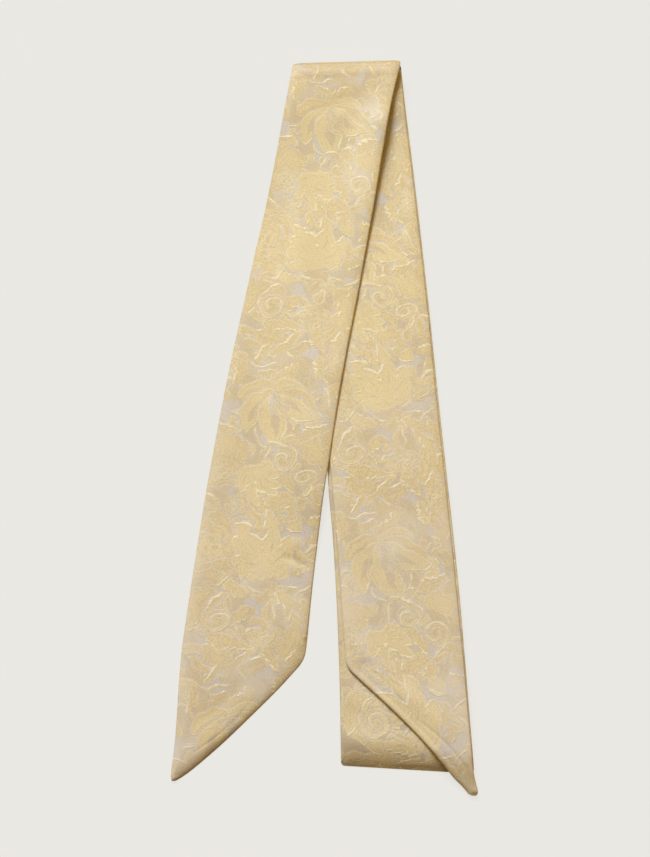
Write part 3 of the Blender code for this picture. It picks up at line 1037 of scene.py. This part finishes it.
def screen(colour):
    """A colour on screen as the linear red, green, blue and alpha that a shader takes."""
    parts = [c / 255 for c in colour]
    return [c / 12.92 if c < 0.04045 else ((c + 0.055) / 1.055) ** 2.4 for c in parts] + [1.0]


class Nodes:
    """Short ways to add and join a material's nodes."""

    def __init__(self, name):
        self.material = bpy.data.materials.new(name)
        self.material.use_nodes = True
        self.tree = self.material.node_tree
        self.shader = self.tree.nodes["Principled BSDF"]
        self.place = self.add("TexCoord").outputs["Object"]

    def add(self, kind, **settings):
        node = self.tree.nodes.new("ShaderNode" + kind)
        for key, value in settings.items():
            setattr(node, key, value)
        return node

    def join(self, value, socket):
        if isinstance(value, bpy.types.NodeSocket):
            self.tree.links.new(value, socket)
        else:
            socket.default_value = value

    def math(self, operation, *values, clamp=False):
        node = self.add("Math", operation=operation, use_clamp=clamp)
        for value, socket in zip(values, node.inputs):
            self.join(value, socket)
        return node.outputs[0]

    def times(self, *values):
        return self.math("MULTIPLY", *values)

    def plus(self, *values, clamp=False):
        return self.math("ADD", *values, clamp=clamp)

    def less(self, *values):
        return self.math("SUBTRACT", *values)

    def off(self, *values):
        return self.math("ABSOLUTE", self.less(*values))

    def give(self, **values):
        """Sets or joins the shader's sockets, named with an underscore for each space."""
        for key, value in values.items():
            self.join(value, self.shader.inputs[key.replace("_", " ")])

    def field(self, name):
        return self.add("Attribute", attribute_name=name).outputs["Fac"]

    def soft(self, value, low, high, to_low=0.0, to_high=1.0):
        node = self.add("MapRange", interpolation_type="SMOOTHSTEP")
        for item, socket in zip((value, low, high, to_low, to_high), node.inputs):
            self.join(item, socket)
        return node.outputs[0]

    def mix(self, amount, first, second, blend="MIX"):
        node = self.add("Mix", data_type="RGBA", blend_type=blend)
        self.join(amount, node.inputs[0])
        self.join(first, node.inputs[6])
        self.join(second, node.inputs[7])
        return node.outputs[2]

    def tint(self, first, second):
        return self.mix(1.0, first, second, "MULTIPLY")

    def noise(self, scale, detail=2.0, rough=0.5):
        node = self.add("TexNoise")
        values = {"Vector": self.place, "Scale": scale, "Detail": detail, "Roughness": rough}
        for key, value in values.items():
            self.join(value, node.inputs[key])
        return node.outputs["Fac"]


def silk():
    """Jacquard silk: a satin ground, a back figure and a front figure with paler raised cords."""
    n = Nodes("silk_jacquard")
    ragged = n.times(n.less(n.noise(RAGGED_SCALE, 2.0, ROUGH_NOISE), 0.5), RAGGED)
    figure = n.plus(n.field("figure"), ragged)
    sharp = n.soft(figure, -0.2, 0.2)
    tone = n.field("tone")
    cord = n.field("cord")
    down = n.add("SeparateXYZ")
    n.join(n.place, down.inputs[0])
    # Painted sheen: the lower end and the sheen spots and edges turn the ground more lilac
    lower = n.soft(down.outputs[1], -0.2, 0.12, 1.0, 0.0)
    sheen = n.field("painted_sheen")
    patch = n.plus(n.plus(n.field("patch"), sheen), n.times(lower, 0.9))
    ground = n.mix(n.soft(patch, -0.08, 0.08), screen(GROUND), screen(LILAC))
    back = n.mix(n.field("back_tone"), screen(TAN), screen(GOLD))
    behind = n.times(n.soft(n.field("back"), -0.25, 0.25), 0.6)
    colour = n.mix(behind, ground, back)
    low = n.mix(n.soft(tone, 0.0, 0.55), screen(TAN), screen(GOLD))
    own = n.mix(n.soft(tone, 0.5, 1.0), low, screen(PALE_GOLD))
    colour = n.mix(sharp, colour, own)
    uneven = n.times(n.less(n.noise(UNEVEN_SCALE, 2.0, ROUGH_NOISE), 0.5), UNEVEN)
    within = n.plus(figure, uneven)
    pale = n.times(n.soft(within, INNER_EDGE, INNER_EDGE + 0.3), 0.55)
    colour = n.mix(pale, colour, screen(PALE_GOLD))
    rim = n.soft(n.off(within, INNER_EDGE - 0.25), 0.1, 0.4, 0.3, 0.0)
    colour = n.mix(rim, colour, screen(TAN))
    core = n.times(n.soft(n.field("strip"), -0.2, 0.25), sharp)
    colour = n.mix(n.times(core, 0.75), colour, screen(CORE))
    line = n.times(n.soft(n.off(figure, 0.15), 0.36, 0.62, 0.95, 0.0), cord)
    outside = n.soft(n.off(figure, -0.55), 0.15, 0.5, 0.6, 0.0)
    colour = n.mix(outside, colour, screen(LILAC))
    thin = n.soft(n.off(figure, 0.2), 0.2, 0.5, 0.3, 0.0)
    broken = n.soft(n.noise(BROKEN_SCALE, 1.0), 0.36, 0.52, 0.3, 1.0)
    colour = n.mix(n.times(n.math("MAXIMUM", thin, line), broken), colour, screen(CORD))
    grain = n.noise(GRAIN_SCALE, 2.0, ROUGH_NOISE)
    shade = n.soft(grain, 0.27, 0.73, *GRAIN_SHADE)
    drift = n.soft(n.noise(DRIFT_SCALE), 0.3, 0.7, *DRIFT_SHADE)
    value = n.times(shade, drift)
    grey = n.add("CombineColor")
    for socket in grey.inputs:
        n.join(value, socket)
    colour = n.tint(colour, grey.outputs[0])
    # Painted sheen: the lower end's colour tinted cooler and darker, and a soft lilac veil over it
    colour = n.mix(lower, colour, n.tint(colour, LOWER_SHEEN_TINT))
    sheen_veil = n.times(n.soft(n.noise(SHEEN_VEIL_SCALE, 1.5), 0.5, 0.66), n.times(lower, 0.4))
    sheen_veil = n.plus(sheen_veil, n.times(sheen, 0.3), clamp=True)
    colour = n.mix(sheen_veil, colour, screen(LILAC))
    # Painted shade: the colour is darkened where less light gets in
    colour = n.mix(n.field("shade"), colour, n.tint(colour, DEEP))
    satin = n.soft(sharp, 0.0, 1.0, *SATIN)
    raised = n.times(n.soft(figure, -0.5, 0.5), FIGURE_HEIGHT)
    raised = n.plus(raised, n.times(line, CORD_HEIGHT))
    raised = n.plus(raised, n.times(grain, GRAIN_HEIGHT))
    bump = n.add("Bump")
    n.join(MM, bump.inputs["Distance"])
    n.join(raised, bump.inputs["Height"])
    n.give(
        Base_Color=colour,
        Roughness=n.plus(satin, n.times(n.less(grain, 0.5), GRAIN_ROUGHNESS)),
        Normal=bump.outputs["Normal"],
        Specular_IOR_Level=SILK_SPECULAR,
        Sheen_Weight=SHEEN,
        Sheen_Roughness=SHEEN_ROUGHNESS,
        Sheen_Tint=SHEEN_TINT,
    )
    return n.material


def plain_floor():
    """The pale surface that the scarf lies on."""
    n = Nodes("pale_floor")
    pale = screen(FLOOR)
    surface = n.mix(n.noise(FLOOR_MOTTLE), pale, [FLOOR_DEEP * c for c in pale[:3]] + [1.0])
    n.give(
        Emission_Color=surface,
        Emission_Strength=FLOOR_GLOW,
        Base_Color=n.tint(surface, [1 - FLOOR_GLOW] * 3 + [1.0]),
        Roughness=0.9,
        Specular_IOR_Level=0.1,
    )
    half = FLOOR_SIZE / 2
    corners = [(-half, -half, 0), (half, -half, 0), (half, half, 0), (-half, half, 0)]
    floor = add_mesh("floor", corners, [(0, 1, 2, 3)], n.material)
    floor.visible_diffuse = False


def backdrop():
    """A pale dome far behind, which the camera sees and no light meets."""
    n = Nodes("pale_backdrop")
    n.give(Base_Color=(0.0, 0.0, 0.0, 1.0), Emission_Color=screen(FLOOR), Emission_Strength=BACKDROP_GLOW)
    rise, turn = np.mgrid[0:DOME_RINGS, 0:DOME_SIDES]
    rise = math.pi * (rise / (DOME_RINGS - 1) - 0.5)
    turn = 2 * math.pi * turn / DOME_SIDES
    sides = [np.cos(rise) * np.cos(turn), np.cos(rise) * np.sin(turn), np.sin(rise)]
    points = DOME_RADIUS * np.stack(sides, -1).reshape(-1, 3)
    faces = round_faces(DOME_RINGS, DOME_SIDES)[1]
    dome = add_mesh("backdrop", points.tolist(), faces, n.material)
    dome.visible_diffuse = False
    dome.visible_glossy = False
    dome.visible_shadow = False


def lights():
    """One broad soft light from the top left, and an even pale sky."""
    data = bpy.data.lights.new("window", "SUN")
    data.energy = SUN_STRENGTH
    data.angle = math.radians(SUN_SIZE)
    data.color = SUN_COLOUR
    sun = add_object("window", data)
    sun.rotation_euler = (math.radians(-SUN_TILT), 0.0, math.radians(SUN_HEADING))
    world = bpy.data.worlds.new("sky")
    world.use_nodes = True
    tree = world.node_tree
    sky = tree.nodes["Background"]
    sky.inputs["Color"].default_value = SKY_COLOUR
    parts = tree.nodes.new("ShaderNodeSeparateXYZ")
    tree.links.new(tree.nodes.new("ShaderNodeTexCoord").outputs["Generated"], parts.inputs[0])
    share = tree.nodes.new("ShaderNodeMapRange")
    for value, socket in zip((-1.0, SKY_FULL, *SKY_STRENGTH), list(share.inputs)[1:]):
        socket.default_value = value
    tree.links.new(parts.outputs[1], share.inputs[0])
    tree.links.new(share.outputs[0], sky.inputs["Strength"])
    bpy.context.scene.world = world
    bpy.context.scene.view_settings.view_transform = "Standard"


def camera():
    """Looks down at the scarf, tilted a little towards its lower end."""
    data = bpy.data.cameras.new("camera")
    data.lens = CAMERA_LENS
    data.sensor_width = SENSOR
    tilt = math.radians(CAMERA_TILT)
    eye = add_object("camera", data)
    eye.location = (LOOK_X, LOOK_Y - CAMERA_DISTANCE * math.sin(tilt), CAMERA_DISTANCE * math.cos(tilt))
    eye.rotation_euler = (tilt, 0.0, 0.0)
    bpy.context.scene.camera = eye


camera()
lights()
plain_floor()
backdrop()

front_leg = Leg(FRONT_EDGES, OUTER_ROLL, 0.0, 0.0, front_base, FRONT_PUFF, FRONT_HEM, FRONT_CREASES, 0.0)
end_leg = Leg(END_EDGES, INNER_ROLL, INNER_BACK, LEVEL, end_base, 0.0, END_HEM, END_CREASES,
              NUDGE, MOUTH, shown_past_front)
ROLL_CLOTH = math.pi * OUTER_ROLL
cloth = silk()

# name, form, shift of the pattern, cloth before the leg, node, slot, flat length, flat area, rests on
PIECES = (
    ("front_cloth", front_leg, 8.0, ROLL_CLOTH, "front_stretch", "front_cloth", 0.468, 0.060,
     ["end_cloth", "under_cloth"]),
    ("end_cloth", end_leg, 104.0, 0.0, "end_stretch", "end_cloth", 0.460, 0.057, ["under_cloth"]),
    ("under_cloth", Pile(), 150.0, 0.0, "under_stretches", "under_cloth", 0.443, 0.062, []),
)
for name, form, shift, start, node, slot, *_ in PIECES:
    body = piece(name, form, shift, start, cloth)
    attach(body, "root")
    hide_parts(node)
